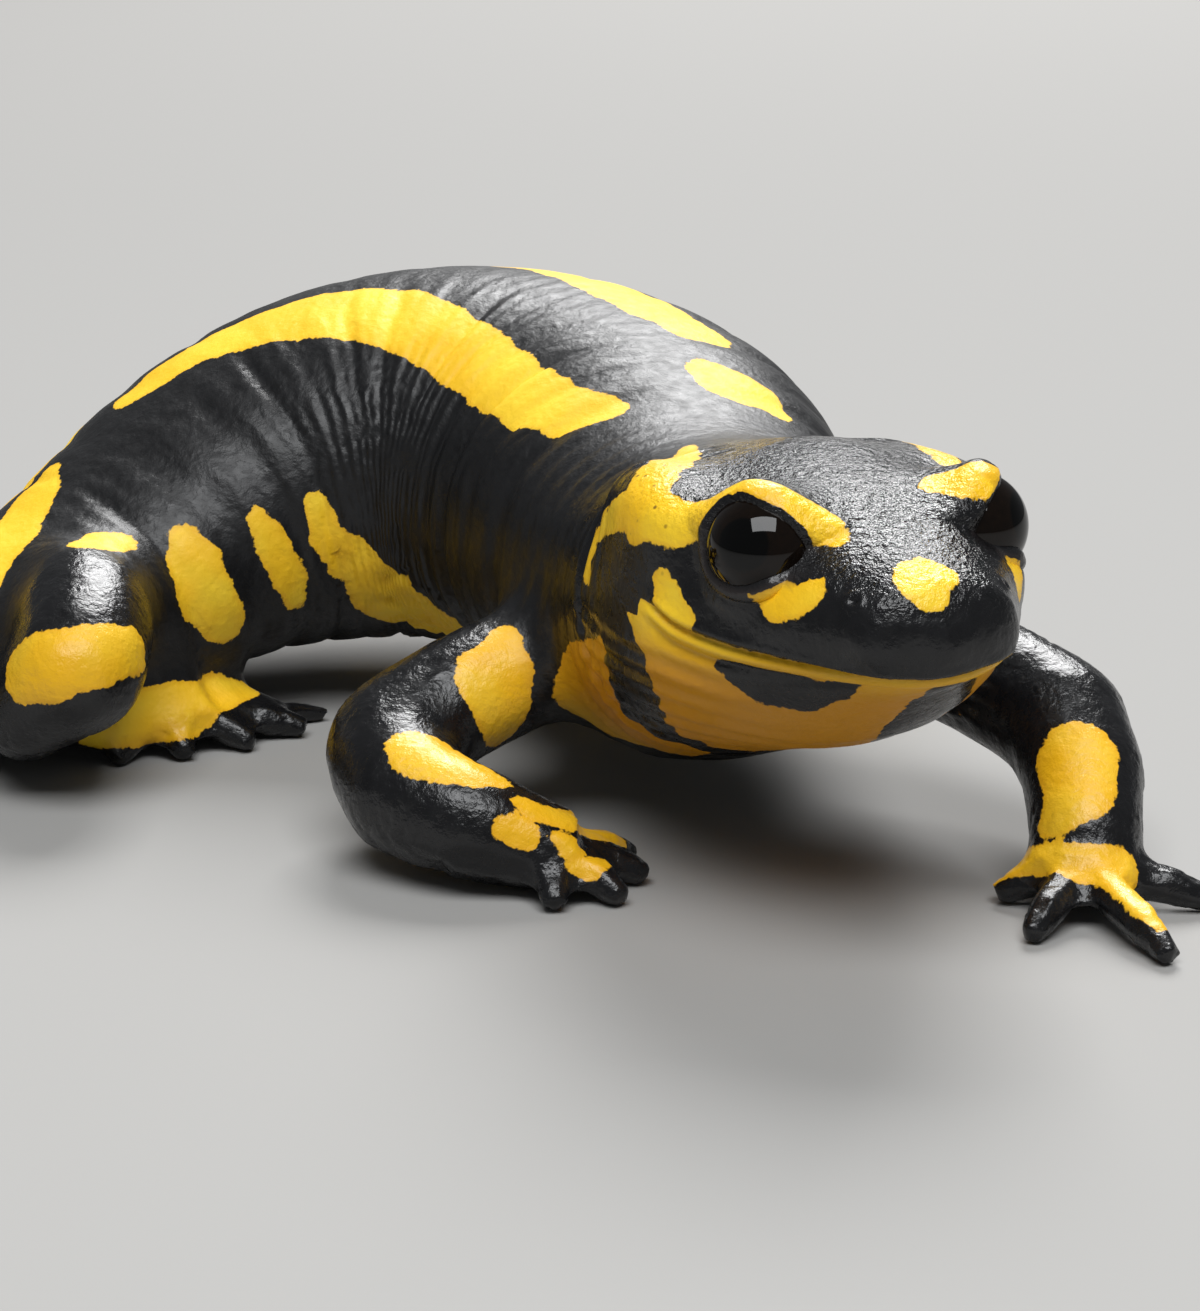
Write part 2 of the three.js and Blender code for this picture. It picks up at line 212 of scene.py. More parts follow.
# %% [markdown]
# ## Ways to name a place on the skin
# Each point of the skin is given its place on the body: how far back, which way round, and how far out
# from the body's line compared with the trunk's half width there. Beyond about 1.3 half widths it is a
# limb. These few numbers steer everything that follows, from how much a place is smoothed to where a
# stripe runs.

# %% Read and write the net
def points_of(mesh):
    co = np.empty(len(mesh.vertices) * 3, np.float32)
    mesh.vertices.foreach_get("co", co)
    return co.reshape(-1, 3).astype(float)


def set_points(mesh, co):
    mesh.vertices.foreach_set("co", co.astype(np.float32).ravel())
    mesh.update()


def normals_of(mesh):
    out = np.empty(len(mesh.vertices) * 3, np.float32)
    mesh.vertex_normals.foreach_get("vector", out)
    return out.reshape(-1, 3).astype(float)


def edges_of(mesh):
    ends = np.empty(len(mesh.edges) * 2, np.int32)
    mesh.edges.foreach_get("vertices", ends)
    return ends.reshape(-1, 2)


print("the net spans", np.ptp(points_of(wrapped), axis=0).round(1), "mm")


# %% Soft steps and dents, and each point's place on the body
def ramp(x, low, high):
    """0 below low, 1 above high, and a soft step between."""
    t = np.clip((x - low) / (high - low), 0, 1)
    return t * t * (3 - 2 * t)


def dent(x, width):
    """1 at 0, falling softly to nothing a little beyond `width`."""
    return np.exp(-(x / width) ** 2)


class Places:
    """For every point: how far `back`, the angle `round` the body and how far `out`; where it is from
    between the eyes; and `trunk`, which is 1 on the head, trunk and tail and 0 on a limb."""

    # Points are measured some thousands at a time, which spares memory.
    BATCH = 4000

    def __init__(self, co):
        near = np.empty(len(co), int)
        for start in range(0, len(co), self.BATCH):
            some = co[start:start + self.BATCH]
            near[start:start + self.BATCH] = ((some[:, None] - line[None]) ** 2).sum(2).argmin(1)
        away = co - line[near]
        across, above = (away * line_left[near]).sum(1), (away * line_up[near]).sum(1)
        self.back = line_at[near] + (away * line_back[near]).sum(1)
        self.round = np.degrees(np.arctan2(above, across)) % 360
        self.out = np.hypot(across, above) / line_half[near]
        self.ahead, self.left, self.up = ((co - BETWEEN_EYES) @ HEAD_AXES.T).T
        self.trunk = 1 - ramp(self.out, 1.12, 1.35)


place = Places(points_of(wrapped))
print("points on the trunk, head and tail:", int(place.trunk.sum()), "of", len(place.trunk))

# %% [markdown]
# ## Relaxed, then drawn in
# Relaxing moves each point towards the middle of its neighbours, as clay is smoothed with a thumb. A
# Smooth modifier could do it too, but it gives every place the same number of rounds. Here each place has
# its own: many on the broad trunk, few on the fingers, toes and tip of the tail, which would melt away.

# %% Relax the net and draw it in
def relax(mesh, times):
    """Moves each point halfway to the middle of its neighbours, as many times as `times` says for it."""
    co, ends = points_of(mesh), edges_of(mesh)
    count = np.bincount(ends.ravel(), minlength=len(co))
    for turn_number in range(int(times.max())):
        mean = np.empty_like(co)
        for axis in range(3):
            total = np.bincount(ends[:, 0], co[ends[:, 1], axis], len(co))
            total += np.bincount(ends[:, 1], co[ends[:, 0], axis], len(co))
            mean[:, axis] = total / count
        share = np.clip(times - turn_number, 0, 1)[:, None] * 0.5
        co += (mean - co) * share
    set_points(mesh, co)


ROUNDS_ON_TRUNK, ROUNDS_ON_LIMBS, ROUNDS_ON_DIGITS = 26, 9, 3
LEFT_SWOLLEN = 0.06
# How far back from the snout the tail starts to be thin, and where it is thinnest.
TAIL_NARROWS, TAIL_THIN = 150, 162

digits = (1 - place.trunk) * (1 - ramp(points_of(wrapped)[:, 2], 2.2, 4.5))
tail_end = ramp(place.back, TAIL_NARROWS, TAIL_THIN)
rounds = ROUNDS_ON_TRUNK * place.trunk * (1 - 0.85 * tail_end)
rounds += ROUNDS_ON_LIMBS * (1 - place.trunk) * (1 - digits)
rounds += ROUNDS_ON_DIGITS * digits
relax(wrapped, rounds)
set_points(wrapped, points_of(wrapped) - normals_of(wrapped) * (SWELL - LEFT_SWOLLEN))
print("relaxed up to", int(rounds.max()), "times; points on the digits:", int(digits.sum()))

# %% [markdown]
# ## A finer net where the eye looks
# The face and fingers have details of a tenth of a millimetre, the flank has none below half a millimetre.
# A net that was fine everywhere would be millions of faces. So the head is subdivided, then the strips
# round the eyes, lips and nostrils once more, and the hands and feet. Subdividing cuts faces flat, so each
# round is followed by a little relaxing. That thins the fingers, toes and tip of the tail, so they are
# then drawn back out to the surfaces of their solids.

# %% Where the mouth, nostrils and eyes are
MOUTH_LINE = [(-14, -5.6), (-8, -3.6), (-4.6, -3.3), (-2.4, -4.0), (0, -4.3), (5, -4.4), (9, -4.6),
              (14, -5.0)]
MOUTH_CORNER = -4.8
NOSTRIL = np.array([6.3, 3.9, -0.9])
NOWHERE_NEAR = 99


def from_mouth(place):
    """How far above the mouth line a point of the face is. Points behind the face are far away."""
    line_here = smooth(MOUTH_LINE, place.ahead) + 0.4 * ramp(place.left, -1, 4)
    on_face = (place.ahead > MOUTH_LINE[0][0]) & (place.trunk > 0.5)
    return np.where(on_face, place.up - line_here, NOWHERE_NEAR)


def from_nostril(co, side):
    return np.linalg.norm(co - on_head(NOSTRIL * [1, side, 1]), axis=1)


def from_eyes(co):
    return np.minimum(np.linalg.norm(co - EYE_LEFT, axis=1), np.linalg.norm(co - EYE_RIGHT, axis=1))


print("points within 4 mm of an eye:", int((from_eyes(points_of(wrapped)) < 4).sum()))


# %% Subdivide the head
def refine(mesh, chosen):
    """Cuts every edge between two chosen points in half, then relaxes that part."""
    work = bmesh.new()
    work.from_mesh(mesh)
    edges = [edge for edge in work.edges if chosen[edge.verts[0].index] and chosen[edge.verts[1].index]]
    bmesh.ops.subdivide_edges(work, edges=edges, cuts=1, use_grid_fill=True)
    work.to_mesh(mesh)
    work.free()
    times = np.full(len(mesh.vertices), 2.0)
    times[:len(chosen)] = chosen * 2
    relax(mesh, times)


HEAD_END = 23

place = Places(points_of(wrapped))
refine(wrapped, (place.back < HEAD_END) & (place.trunk > 0.5))
print("with a finer head the net has", len(wrapped.vertices), "points")

# %% Subdivide the eyes, lips, nostrils, hands and feet
LIMBS_FINE_BELOW = 4.6

co = points_of(wrapped)
place = Places(co)
lids = (from_eyes(co) < 4.1) & (np.abs(place.left) > 1.5)
lips = (np.abs(from_mouth(place) + 0.2) < 1.0) & (place.ahead > MOUTH_CORNER - 1.5)
nostrils = (from_nostril(co, 1) < 1.0) | (from_nostril(co, -1) < 1.0)
digits = (place.trunk < 0.5) & (co[:, 2] < LIMBS_FINE_BELOW)
refine(wrapped, lids | lips | nostrils | digits)
print("with finer lids, lips, nostrils, hands and feet it has", len(wrapped.vertices))


# %% Draw the thin ends back out
ENDS_BELOW = 4.5
REACH = 1.0


def draw_ends_out(mesh, share):
    """Moves points of the hands, feet and tip of the tail back towards the solids' own surfaces."""
    co = points_of(mesh)
    place = Places(co)
    tail_end = ramp(place.back, (TAIL_NARROWS + TAIL_THIN) / 2, TAIL_THIN)
    for i in np.nonzero(((place.trunk < 0.2) | (tail_end > 0)) & (co[:, 2] < ENDS_BELOW))[0]:
        found = [shape.find_nearest(Vector(co[i]), REACH) for shape in thin_ends]
        found = [hit for hit in found if hit[0] is not None]
        if found:
            nearest = min(found, key=lambda hit: hit[3])
            strength = share * (1 - float(ramp(co[i, 2], 3.0, ENDS_BELOW)))
            strength *= float(tail_end[i]) if place.back[i] > TAIL_NARROWS else 1.0
            co[i] += (np.array(nearest[0]) - co[i]) * strength
    set_points(mesh, co)


draw_ends_out(wrapped, 0.9)
co = points_of(wrapped)
relax(wrapped, 3.0 * (co[:, 2] < LIMBS_FINE_BELOW) * (Places(co).trunk < 0.5))
print("the finer net has", len(wrapped.vertices), "points and", len(wrapped.polygons), "faces")

# %% [markdown]
# ## Eyelids
# A salamander's eye bulges from a thick rim of skin, with the upper lid standing out like a brow. The
# lids could be separate rings, but then a seam would show. Here the skin itself is moved: seen from the
# middle of the eye, points inside the opening sink a little below the eyeball's surface, points at its
# edge swell into a rounded rim, and two soft grooves run round below the rim of the lower lid.

# %% Look at the skin from the middle of an eye
# Where each eye looks: ahead, outward, up. And the opening's edge, in degrees from that line, by the way
# round it, where 0 is towards the snout and 90 the top.
GAZE = np.array([0.66, 0.70, 0.27])
LID_EDGE = [(-180, 67), (-150, 66), (-120, 54), (-90, 47), (-50, 46), (-24, 57), (0, 71), (20, 60), (45, 49),
            (70, 44), (90, 46), (115, 55), (145, 64), (180, 67)]


def gaze_of(side):
    gaze = (GAZE * [1, side, 1]) @ HEAD_AXES
    return gaze / np.linalg.norm(gaze)


class RoundEye:
    """For every point: how `far` from the eye and which `way`, its `turn` round the line of gaze, how far
    it is beyond the lids' edge (`arc`, in mm), and how much it belongs to the `upper` lid."""

    def __init__(self, co, centre, side):
        gaze = gaze_of(side)
        away = co - centre
        self.far = np.linalg.norm(away, axis=1)
        self.way = away / self.far[:, None]
        straight = self.way @ gaze
        to_snout = np.cross(gaze, UP) * side
        to_snout /= np.linalg.norm(to_snout)
        to_top = np.cross(to_snout, gaze) * side
        self.turn = np.degrees(np.arctan2(self.way @ to_top, self.way @ to_snout))
        angle = np.degrees(np.arccos(np.clip(straight, -1, 1)))
        # The left eye is a little more closed below and in front.
        edge = smooth(LID_EDGE, self.turn) - 7 * dent(self.turn + 65, 40) * (side > 0)
        self.arc = np.radians(angle - edge) * EYE_RADIUS
        self.upper = ramp(np.sin(np.radians(self.turn)), -0.15, 0.45)


for centre, side in EYES:
    eye = RoundEye(points_of(wrapped), centre, side)
    near_edge = (eye.far < EYE_RADIUS + 1) & (np.abs(eye.arc) < 1)
    print("points within 1 mm of the lids' edge:", int(near_edge.sum()))

# %% Cut the openings and raise the rims
UNDER_BALL = 0.35

co = points_of(wrapped)
for centre, side in EYES:
    eye = RoundEye(co, centre, side)
    far, arc, upper = eye.far, eye.arc, eye.upper
    close = 1 - ramp(far, EYE_RADIUS + 1.2, EYE_RADIUS + 2.0)
    thin = np.minimum(far, EYE_RADIUS + 0.14 + 0.55 * np.maximum(arc, 0))
    lidded = thin + (far - thin) * np.maximum(upper, ramp(arc, 0.6, 1.4))
    margin = EYE_RADIUS + 0.12 + 0.05 * upper
    lidded = margin + (lidded - margin) * ramp(arc, -0.05, 0.45)
    lidded += 0.28 * dent(arc - 1.1, 0.7) * upper
    rim = dent(arc - 0.25, 0.15) * (0.09 - 0.03 * upper)
    crease = dent(arc - 0.62, 0.16) * 0.14 * (1 - upper)
    behind = ramp(-np.cos(np.radians(eye.turn)), -0.6, 0.4)
    second = dent(arc - 1.2, 0.2) * 0.14 * (1 - upper) * behind
    corner = dent(eye.turn / 60, 0.25) * dent(arc - 0.7, 0.6) * 0.25
    lidded = far + (lidded + rim - crease - second - corner - far) * close
    inside = 1 - ramp(arc, -0.14, 0.08)
    inside *= 1 - ramp(far, EYE_RADIUS + 1.6, EYE_RADIUS + 2.4)
    co = centre + eye.way * (lidded + (EYE_RADIUS - UNDER_BALL - lidded) * inside)[:, None]
set_points(wrapped, co)
print("points inside the openings:", int((from_eyes(co) < EYE_RADIUS - 0.2).sum()))

# %% [markdown]
# ## Folds and creases
# Skin that bends folds. Across the trunk run the costal grooves, one for each rib, deepest on the inside
# of the bend. The throat ends in a crease, the mouth is a thin line with a lip on each side, and the tail
# is faintly ringed. All are made the same way: a number in millimetres for every point says how far to
# move it along its own normal, and the numbers are sums of soft dents and waves. A texture could fake
# them, but the outline and the mesh itself would stay smooth, so only the finest wrinkles are left to
# the material.

# %% Swellings of the head
def push(mesh, amount):
    set_points(mesh, points_of(mesh) + normals_of(mesh) * amount[:, None])


# Each is a place on the head, how wide it spreads and how high it stands: the back of the crown, a
# hollow over the left gland, and the two cheeks.
SWELLINGS = [((-8.8, 2.4, 2.1), 4.2, 0.5), ((-8.6, 7.0, 1.6), 2.6, -0.4), ((2.7, 5.9, -1.9), 1.3, 0.5),
             ((2.5, -5.9, -1.9), 1.5, 0.2)]
co = points_of(wrapped)
amount = np.zeros(len(co))
for spot, spread, height in SWELLINGS:
    amount += height * dent(np.linalg.norm(co - on_head(spot), axis=1), spread)
push(wrapped, amount)
print("swellings up to", amount.max().round(2), "mm")

# %% The mouth and the nostrils
co = points_of(wrapped)
place = Places(co)
above = from_mouth(place)
shut = ramp(place.ahead, MOUTH_CORNER, MOUTH_CORNER + 1.6)
mouth = -0.40 * dent(above, 0.15) + 0.10 * dent(above - 0.4, 0.26) + 0.12 * dent(above + 0.42, 0.24)
mouth -= 0.20 * dent(above + 0.95, 0.26) + 0.12 * ramp(-above, 0.0, 0.3) * (1 - ramp(-above, 1.6, 3.0))
amount = mouth * shut
for side in (1, -1):
    pit = from_nostril(co, side)
    amount += 0.09 * dent(pit - 0.45, 0.2) - 0.5 * dent(pit, 0.22)
push(wrapped, amount)
print("deepest point of the mouth:", amount.min().round(2), "mm")

# %% The throat crease, folds of the jaw and neck
def waver(co, size, seed):
    """A smooth random number from about -1 to 1 for each point, with blobs of `size` millimetres."""
    shift = Vector((seed * 17.3, seed * 5.1, seed * 9.7))
    return np.array([noise.noise(Vector(p) / size + shift) for p in co])


co = points_of(wrapped)
place = Places(co)
drift, fine = waver(co, 5.0, 1), waver(co, 1.4, 2)
right_side = ramp(np.cos(np.radians(place.round - 180)), 0.05, 0.6)
left_side = ramp(np.cos(np.radians(place.round)), 0.05, 0.6)
under = ramp(-np.sin(np.radians(place.round)), 0.0, 0.6)
jaw_rear = ramp(-place.ahead, -2, 3) * ramp(-place.up, 4.6, 5.6) * (1 - ramp(place.back, 21, 24))
jaw_folds = 0.07 * np.sin(place.up * 5.2 + 1.6 * drift + 0.5 * place.ahead) * jaw_rear
either_side = left_side + right_side
throat = -0.6 * dent(place.back - 21.6 + 0.3 * drift, 0.45) * np.maximum(under, 0.5 * either_side)
throat -= 0.3 * dent(place.back - 24.4 - 0.4 * drift, 0.4) * under
nape = ramp(place.back, 17, 20) * (1 - ramp(place.back, 30, 34)) * np.maximum(left_side, right_side)
nape_folds = 0.10 * np.sin(place.back * 4.6 + 2.2 * drift) * nape * (0.7 + 0.6 * fine)
push(wrapped, (jaw_folds + throat + nape_folds) * place.trunk)
print("the throat's crease is", round(float(-throat.min()), 2), "mm deep")

# %% Costal grooves and tail rings
RIB = 3.5
RING = 3.2

along = (place.back + 0.5 * drift - 30) / RIB
rib = np.round(along)
depth = 0.85 + 0.35 * np.sin(rib * 2.4)
ribbed = ramp(place.back, 29, 33) * (1 - ramp(place.back, 82, 88))
spread = 1 + 0.25 * np.sin(rib * 1.7)
costal = -dent((along - rib) / spread, 0.17) * ribbed * depth
costal *= 0.30 * right_side + 0.17 * left_side + 0.08 * under
tail = ramp(place.back, 92, 98) * (1 - ramp(place.back, TAIL_NARROWS, TAIL_THIN))
ring = (place.back + 0.3 * drift) / RING
rings = -0.13 * dent(ring - np.round(ring), 0.13) * tail
lumps = 0.03 * fine + 0.05 * drift * ramp(place.back, 24, 30)
push(wrapped, (costal + rings) * place.trunk + lumps * (1 - 0.5 * (place.back < HEAD_END)))
print("costal grooves down to", costal.min().round(2), "mm")

# %% Creases of the limbs
co = points_of(wrapped)
limb = 1 - place.trunk
coarse = waver(co * [1, 1, 0.35], 0.9, 5)
creases = -0.09 * ramp(-np.abs(coarse), -0.12, 0.0) * limb * (0.4 + 0.6 * ramp(drift, -0.4, 0.3))
push(wrapped, creases + 0.02 * fine * limb)
print("limb creases down to", creases.min().round(2), "mm")

# %% [markdown]
# ## Markings
# Fire salamanders are black with yellow blotches, sharp-edged and different on every animal. They could be
# painted on an image, but the pattern is simple enough to be described in words: a marking is a chain of
# round blobs, each with a place on the animal and a radius. The distance from every point of the skin to
# the nearest edge of a marking is stored as an attribute, and the material turns it into a sharp,
# slightly ragged border. Distances blend well between points, so the border stays crisp on a coarse net.

# %% Where blobs can be put
skin_now = [Vector(point) for point in points_of(wrapped)]
tree = BVHTree.FromPolygons(skin_now, [face.vertices[:] for face in wrapped.polygons])


def on_body(back, degrees):
    """The point of the skin at this distance from the snout and this angle round the body."""
    i = round(back / STEP)
    angle = math.radians(degrees)
    way = math.cos(angle) * line_left[i] + math.sin(angle) * line_up[i]
    start = line[i] + way * line_half[i] * 3
    hit = tree.ray_cast(Vector(start), Vector(-way))[0]
    near = line[i] + way * line_half[i]
    if hit is None or (hit - Vector(near)).length > 0.5 * line_half[i]:
        hit = tree.find_nearest(Vector(near))[0]
    return np.array(hit)


print("the middle of the back, 50 mm from the snout, is at", on_body(50, 90).round(1))


# %% Chains of blobs
def melt(one, other, reach):
    """The larger of two distances, with the corner between them filled in over `reach`."""
    overlap = np.clip(1 - np.abs(one - other) / reach, 0, 1)
    return np.maximum(one, other) + overlap**2 * reach / 4


def chain(co, blobs):
    """Distance inside a chain of blobs (x, y, z, radius) joined by tapering links. Outside is negative."""
    blobs = [np.asarray(blob, float) for blob in blobs]
    whole = None
    for a, b in zip(blobs, blobs[1:] or blobs):
        link = b[:3] - a[:3]
        along = np.clip(((co - a[:3]) @ link) / max(link @ link, 1e-9), 0, 1)
        inside = a[3] + along * (b[3] - a[3]) - np.linalg.norm(co - a[:3] - along[:, None] * link, axis=1)
        whole = inside if whole is None else melt(whole, inside, 0.5)
    return whole


def body_chain(co, rows):
    return chain(co, [(*on_body(back, degrees), radius) for back, degrees, radius in rows])


def head_chain(co, rows):
    return chain(co, [(*on_head(row[:3]), row[3]) for row in rows])


def limb_chain(co, rows):
    """Blobs given from the floor under the eyes, along the axes of the whole model."""
    return chain(co, [(*(np.array(row[:3]) + UNDER_EYES), row[3]) for row in rows])


def most(co, chains, kind):
    """The largest distance inside any of several chains."""
    return np.max([kind(co, rows) for rows in chains], axis=0)


print("the middle of a blob of radius 1 is", chain(np.zeros((1, 3)), [(0, 0, 0, 1)])[0], "mm inside it")

# %% Yellow blobs on the top and sides of the head
# Each blob is ahead, left and up from between the eyes, and its radius, in millimetres.
co = points_of(wrapped)
place = Places(co)
head_yellow = [
    # Over the right eye, back to its gland, and on across the crown and down the cheek.
    [(2.8, -3.0, 0.9, 0.5), (2.2, -3.6, 1.5, 0.8), (1.8, -4.2, 2.2, 0.9), (1.2, -5.0, 2.8, 0.85),
     (0.2, -5.8, 3.1, 0.75), (-0.9, -6.5, 2.7, 0.65), (-1.9, -7.1, 1.8, 0.6), (-2.6, -7.6, 1.0, 0.9),
     (-3.8, -8.2, 0.6, 1.1), (-5.4, -8.9, 0.8, 1.4)],
    [(-4.6, -9.0, 0.5, 1.0), (-5.8, -9.0, 0.6, 1.3), (-7.0, -8.0, 1.7, 1.1), (-8.4, -6.7, 2.0, 1.1),
     (-10.4, -5.2, 1.9, 0.95), (-13.5, -3.4, 1.4, 0.5), (-16.3, -2.1, 0.9, 0.3)],
    [(-7.4, -9.2, 0.3, 1.0), (-10.0, -9.2, -0.8, 0.55), (-11.8, -9.1, -2.4, 0.5), (-11.8, -9.3, -3.2, 0.4),
     (-10.9, -9.5, -3.9, 0.2)],
    # Over the left eye, and its gland.
    [(0.4, 3.2, 2.4, 0.8), (1.1, 4.3, 2.5, 1.1), (1.4, 5.7, 2.6, 1.0), (1.2, 6.6, 2.4, 0.7)],
    [(-3.6, 6.6, 1.8, 0.3), (-5.1, 6.7, 1.8, 0.45), (-7.2, 7.1, 1.7, 0.8), (-9.6, 7.8, 1.2, 1.2),
     (-11.5, 8.2, 0.4, 0.8)],
    # The tip of the snout.
    [(6.3, -1.2, 0.2, 0.5), (7.2, -1.0, -0.3, 0.85), (7.7, -0.7, -0.6, 0.8)],
    [(6.3, -0.4, 0.3, 0.6), (7.1, -0.1, -0.1, 0.85)],
    # Below and in front of the left eye, then of the right.
    [(2.2, 5.9, -0.9, 0.3), (3.2, 5.6, -1.5, 0.45), (3.9, 5.2, -2.2, 0.4)],
    [(2.1, -6.4, -1.6, 0.3), (2.7, -5.9, -1.9, 0.5), (3.5, -5.4, -1.7, 0.7), (4.0, -4.9, -1.0, 0.65),
     (3.7, -4.5, -0.4, 0.4)],
    [(2.5, -5.8, -1.4, 0.3), (3.3, -5.2, -0.9, 0.5)],
    # Behind the right corner of the mouth.
    [(-3.5, -8.6, -2.1, 0.5), (-2.8, -8.7, -3.0, 0.7), (-1.7, -8.4, -3.6, 0.55)],
]
yellow = most(co, head_yellow, head_chain)
print("yellow share of the head, without the jaw:", round(float((yellow[place.back < 22] > 0).mean()), 2))

# %% The yellow of the jaw and chin, with black patches of painted shade
# How far back the yellow reaches at each height, as rows of (up, ahead) from between the eyes. A patch
# is a chain of blobs, as above. The black patches are painted shade under the jaw and chin; the one
# below the right lip is partly a black marking as well.
JAW_REAR = [(-13, -9.0), (-10.5, -7.0), (-8.5, -5.0), (-7.0, -4.4), (-5.6, -4.5), (-4.2, -5.6), (-3, -6.4)]
above = from_mouth(place)
chin = np.where(place.ahead > MOUTH_CORNER, -above, -4.1 - place.up)
jaw = np.minimum(chin * 3, place.ahead - smooth(JAW_REAR, place.up))
black_and_shade_patches = [
    # Below the right lip: partly a black marking, partly painted shade under the jaw.
    [(-0.2, -7.4, -5.4, 0.35), (0.8, -6.7, -5.7, 0.75), (1.8, -5.6, -6.0, 1.25), (2.9, -4.6, -6.1, 1.3),
     (4.2, -3.7, -5.7, 0.85), (5.2, -3.1, -5.3, 0.35)],
    # Under the chin, left of the middle: painted shade.
    [(6.2, 1.0, -6.0, 1.1), (4.4, 1.9, -7.0, 1.9), (1.8, 2.4, -8.6, 2.4), (-1.2, 2.2, -9.8, 1.6)],
]
# The patches of painted shade blacken the jaw, all but the yellow strip just below the mouth.
jaw_black_and_shade = most(co, black_and_shade_patches, head_chain)
jaw = np.minimum(jaw, np.maximum(-jaw_black_and_shade, (above + 0.6) * 3))
throat_end, left_end = 23.5 - place.back, 9.3 - place.left
jaw = np.minimum(jaw, np.minimum((place.trunk - 0.5) * 8, np.minimum(throat_end, left_end)))
yellow = np.maximum(yellow, jaw)
print("yellow share of the head, with the jaw:", round(float((yellow[place.back < 22] > 0).mean()), 2))

# %% Keep the rims of the eyes black
for centre, side in EYES:
    eye = RoundEye(co, centre, side)
    rim = (eye.arc - 0.16 - 0.1 * eye.upper * (side < 0)) * 4
    yellow = np.where(eye.far < EYE_RADIUS + 1.3, np.minimum(yellow, rim), yellow)
print("yellow share of the head:", round(float((yellow[place.back < 22] > 0).mean()), 2))

# %% The yellow of the trunk and tail
# Each blob is how far back it is, its angle round the body, and its radius.
body_yellow = [
    # The long stripe on the right of the back, and one across the hips.
    [(33.2, 117, 1.2), (34.5, 125, 1.6), (37.5, 131, 1.8), (42.5, 133, 1.95), (48.2, 132, 2.0),
     (54.2, 128, 2.1), (58, 121, 2.3), (61.2, 113, 2.4), (64, 105, 2.3), (66.5, 96, 2.1), (69, 83, 1.8),
     (71, 76, 1.5), (72.5, 71, 1.0)],
    [(78.5, 62, 0.9), (80.5, 70, 1.5), (84.2, 100, 1.5), (87.5, 130, 1.2), (90, 140, 1.1)],
    # The left of the back.
    [(36.6, 77, 1.1), (35, 71, 1.7), (34, 64, 1.6), (32.4, 57, 0.9)],
    [(41, 68, 1.0), (41.8, 73, 1.5), (44.2, 77, 2.0), (47.5, 78, 2.1), (51, 75, 2.1), (55, 67, 2.0),
     (60, 60, 2.0), (64, 52, 1.8), (68, 46, 1.5)],
    [(73, 40, 1.5), (77, 34, 1.8), (80, 38, 1.3)],
    # The right hip and flank, and the side of the throat.
    [(77.8, 152, 0.7), (78, 161, 1.3), (78.2, 174, 1.5), (77.8, 187, 1.3)],
    [(73.4, 160, 0.5), (73.5, 170, 0.75), (73.2, 183, 0.8), (73, 192, 0.55)],
    [(69.3, 166, 0.6), (69.1, 177, 0.85), (67.2, 186, 1.2), (62.8, 199, 1.75), (58, 205, 2.1), (53, 210, 2.1),
     (49, 213, 1.9), (45, 215, 1.3)],
    [(18.2, 187, 0.35), (20.5, 197, 1.3), (23.2, 207, 2.4), (24.2, 217, 2.7), (23.2, 230, 2.0),
     (22.5, 243, 1.2)],
    # The left flank.
    [(34, 345, 1.6), (39, 338, 2.2), (45, 346, 1.8)],
    [(52, 350, 1.3), (57, 340, 2.2), (63, 335, 1.9)],
    [(70, 352, 1.4), (76, 338, 1.8), (79, 350, 1.0)],
    # The tail.
    [(99, 70, 1.2), (104, 80, 1.7), (110, 70, 1.9), (116, 84, 1.4)],
    [(97, 176, 1.3), (103, 186, 1.6)],
    [(112, 180, 1.1), (118, 188, 1.5)],
    [(123, 95, 1.5), (129, 108, 1.7), (134, 92, 1.2)],
    [(126, 350, 1.4), (133, 345, 1.4)],
    [(141, 85, 1.1), (147, 96, 1.3), (151, 84, 0.9)],
    [(157, 110, 0.8), (162, 92, 0.9)],
    # The belly.
    [(40, 262, 1.5), (46, 270, 1.8)],
    [(58, 258, 1.6), (63, 280, 1.3)],
]
trunk_yellow = most(co, body_yellow, body_chain)
yellow = np.maximum(yellow, np.minimum(trunk_yellow, (place.trunk - 0.3) * 5))
print("yellow share of the trunk and tail:", round(float((yellow[place.back > 22] > 0).mean()), 2))

